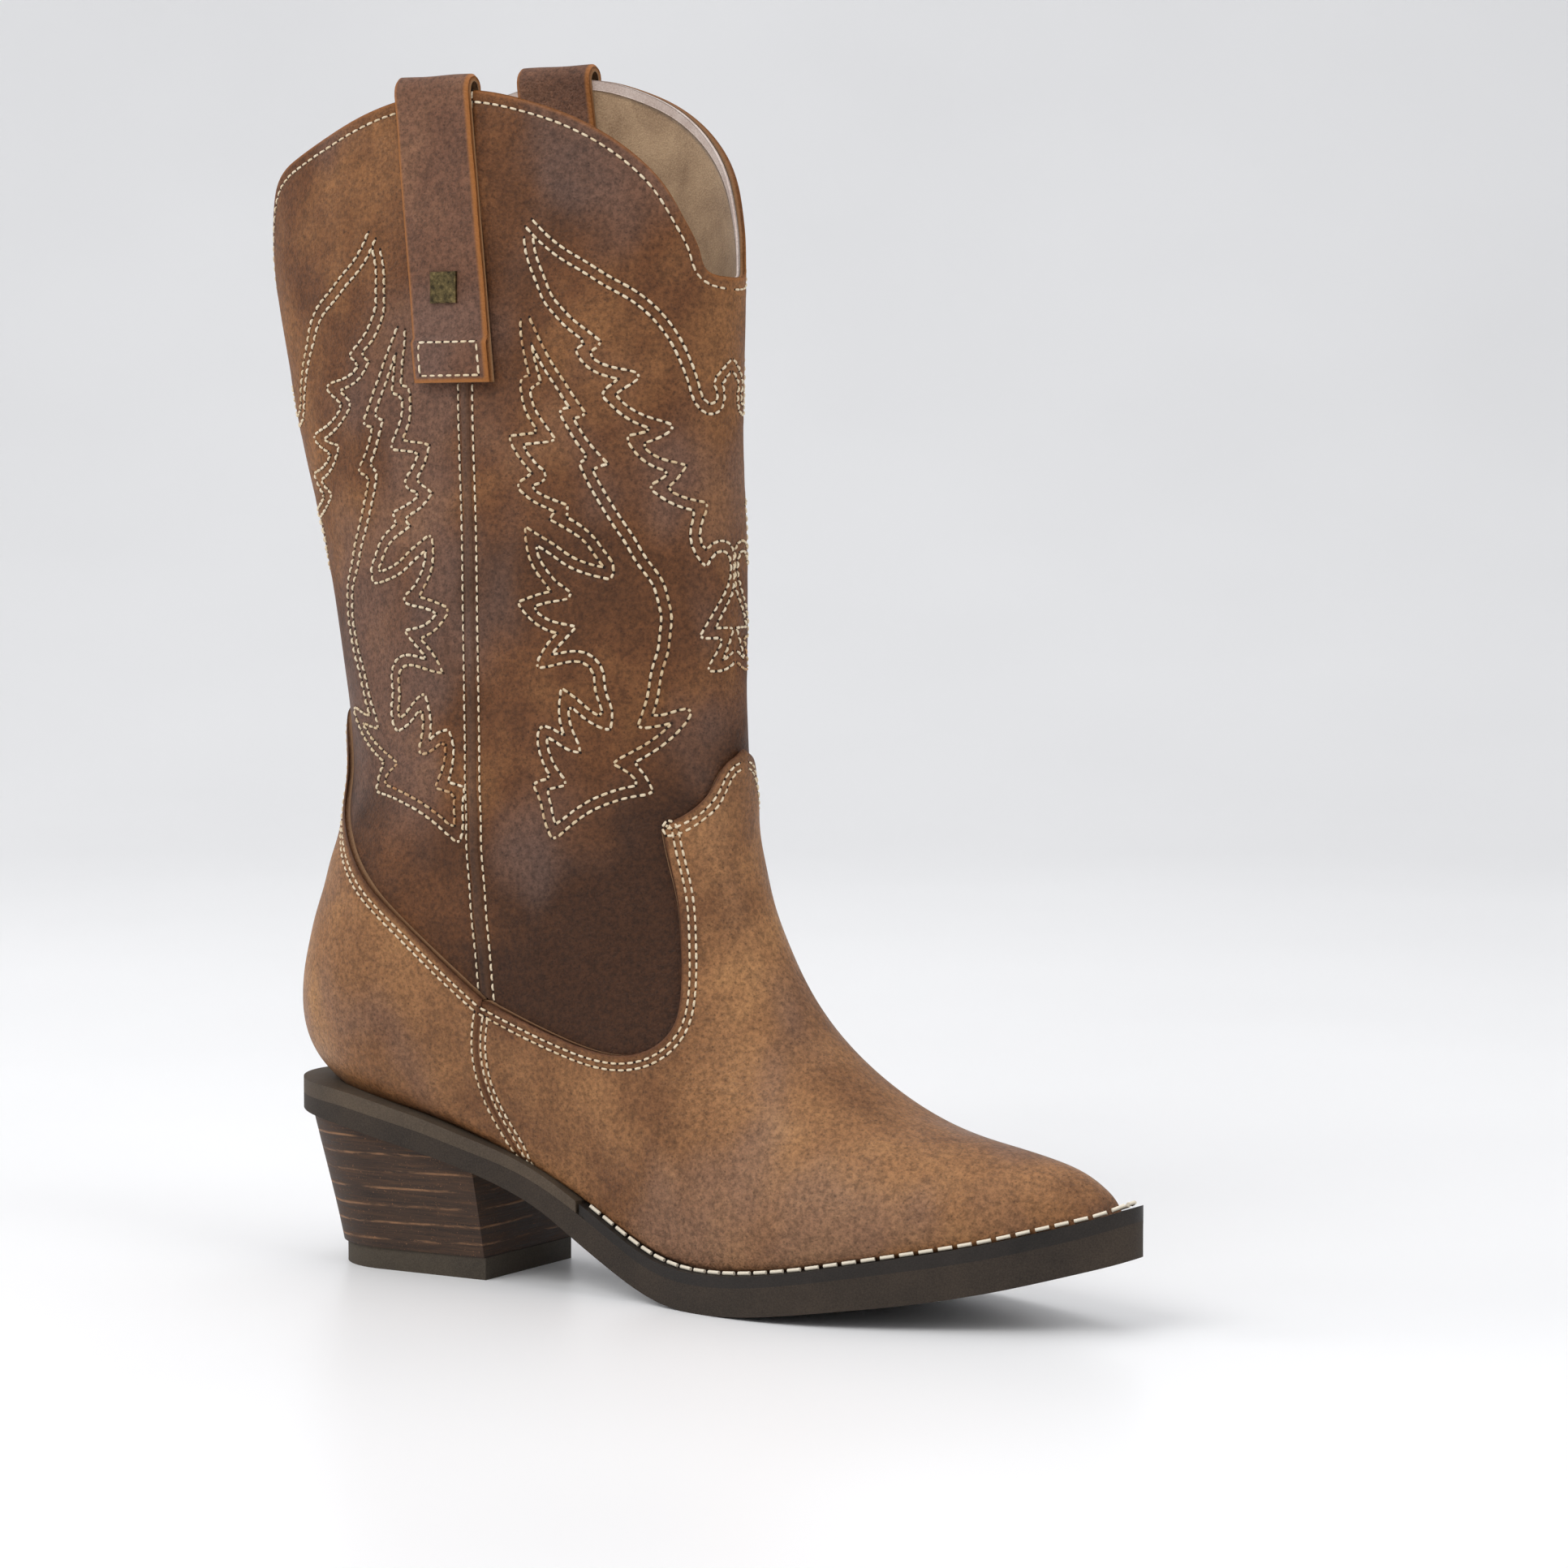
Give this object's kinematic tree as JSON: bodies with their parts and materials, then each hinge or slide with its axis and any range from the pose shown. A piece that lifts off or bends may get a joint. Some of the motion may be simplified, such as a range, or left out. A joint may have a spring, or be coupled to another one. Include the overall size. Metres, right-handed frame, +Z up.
{
  "type": "cowboy boot",
  "caption": "Pull-on western boot with pointed toe, scalloped shaft top, side pull straps, stitched welt and block heel.",
  "frame": {"origin": "middle of the boot's footprint box on the floor, at the level the heel and the ball of the sole stand on", "axes": "+X towards the toe, +Y towards the inner (medial) side, +Z up"},
  "size_m": [0.2883, 0.0793, 0.3591],
  "materials": {
    "upper_leather": "oiled pull-up leather, satin",
    "piping_leather": "oiled leather, matte",
    "strap_leather": "oiled pull-up leather, satin",
    "badge_metal": "antiqued",
    "stay_tape": "woven tape",
    "lining_suede": "split suede, matte",
    "stiffener_board": "thermoplastic board",
    "interlining_cloth": "woven cotton",
    "insole_fibre": "pressed fibre board",
    "sock_leather": "smooth, matte",
    "pad_foam": "latex foam",
    "cork_filler": "ground cork",
    "shank_steel": "rolled strip",
    "welt_rubber": "matte",
    "sole_rubber": "matte",
    "stacked_heel": "stained stacked layers, satin",
    "lift_rubber": "matte",
    "fastener_steel": "plain",
    "welt_thread": "waxed thread"
  },
  "bodies": {
    "root": {"bottom_filler": "cork_filler", "counter_cover": "upper_leather", "counter_stiffener": "stiffener_board", "heel_block": "stacked_heel", "heel_lining": "lining_suede", "heel_nails": "fastener_steel", "heel_pad": "pad_foam", "heel_rand": "sole_rubber", "heel_screw": "fastener_steel", "insole_board": "insole_fibre", "outsole": "sole_rubber", "pull_strap_inner": "strap_leather", "pull_strap_outer": "strap_leather", "shaft_back_panel": "upper_leather", "shaft_front_panel": "upper_leather", "shaft_lining_back": "lining_suede", "shaft_lining_front": "lining_suede", "side_piping_inner": "piping_leather", "side_piping_outer": "piping_leather", "sock_lining": "sock_leather", "steel_shank": "shank_steel", "strap_badge": "badge_metal", "toe_puff": "stiffener_board", "top_lift": "lift_rubber", "top_lift_pins": "fastener_steel", "topline_tape_back": "stay_tape", "topline_tape_front": "stay_tape", "vamp": "upper_leather", "vamp_interlining": "interlining_cloth", "vamp_lining": "lining_suede", "welt": "welt_rubber", "welt_stitches": "welt_thread"}
  },
  "joints": []
}
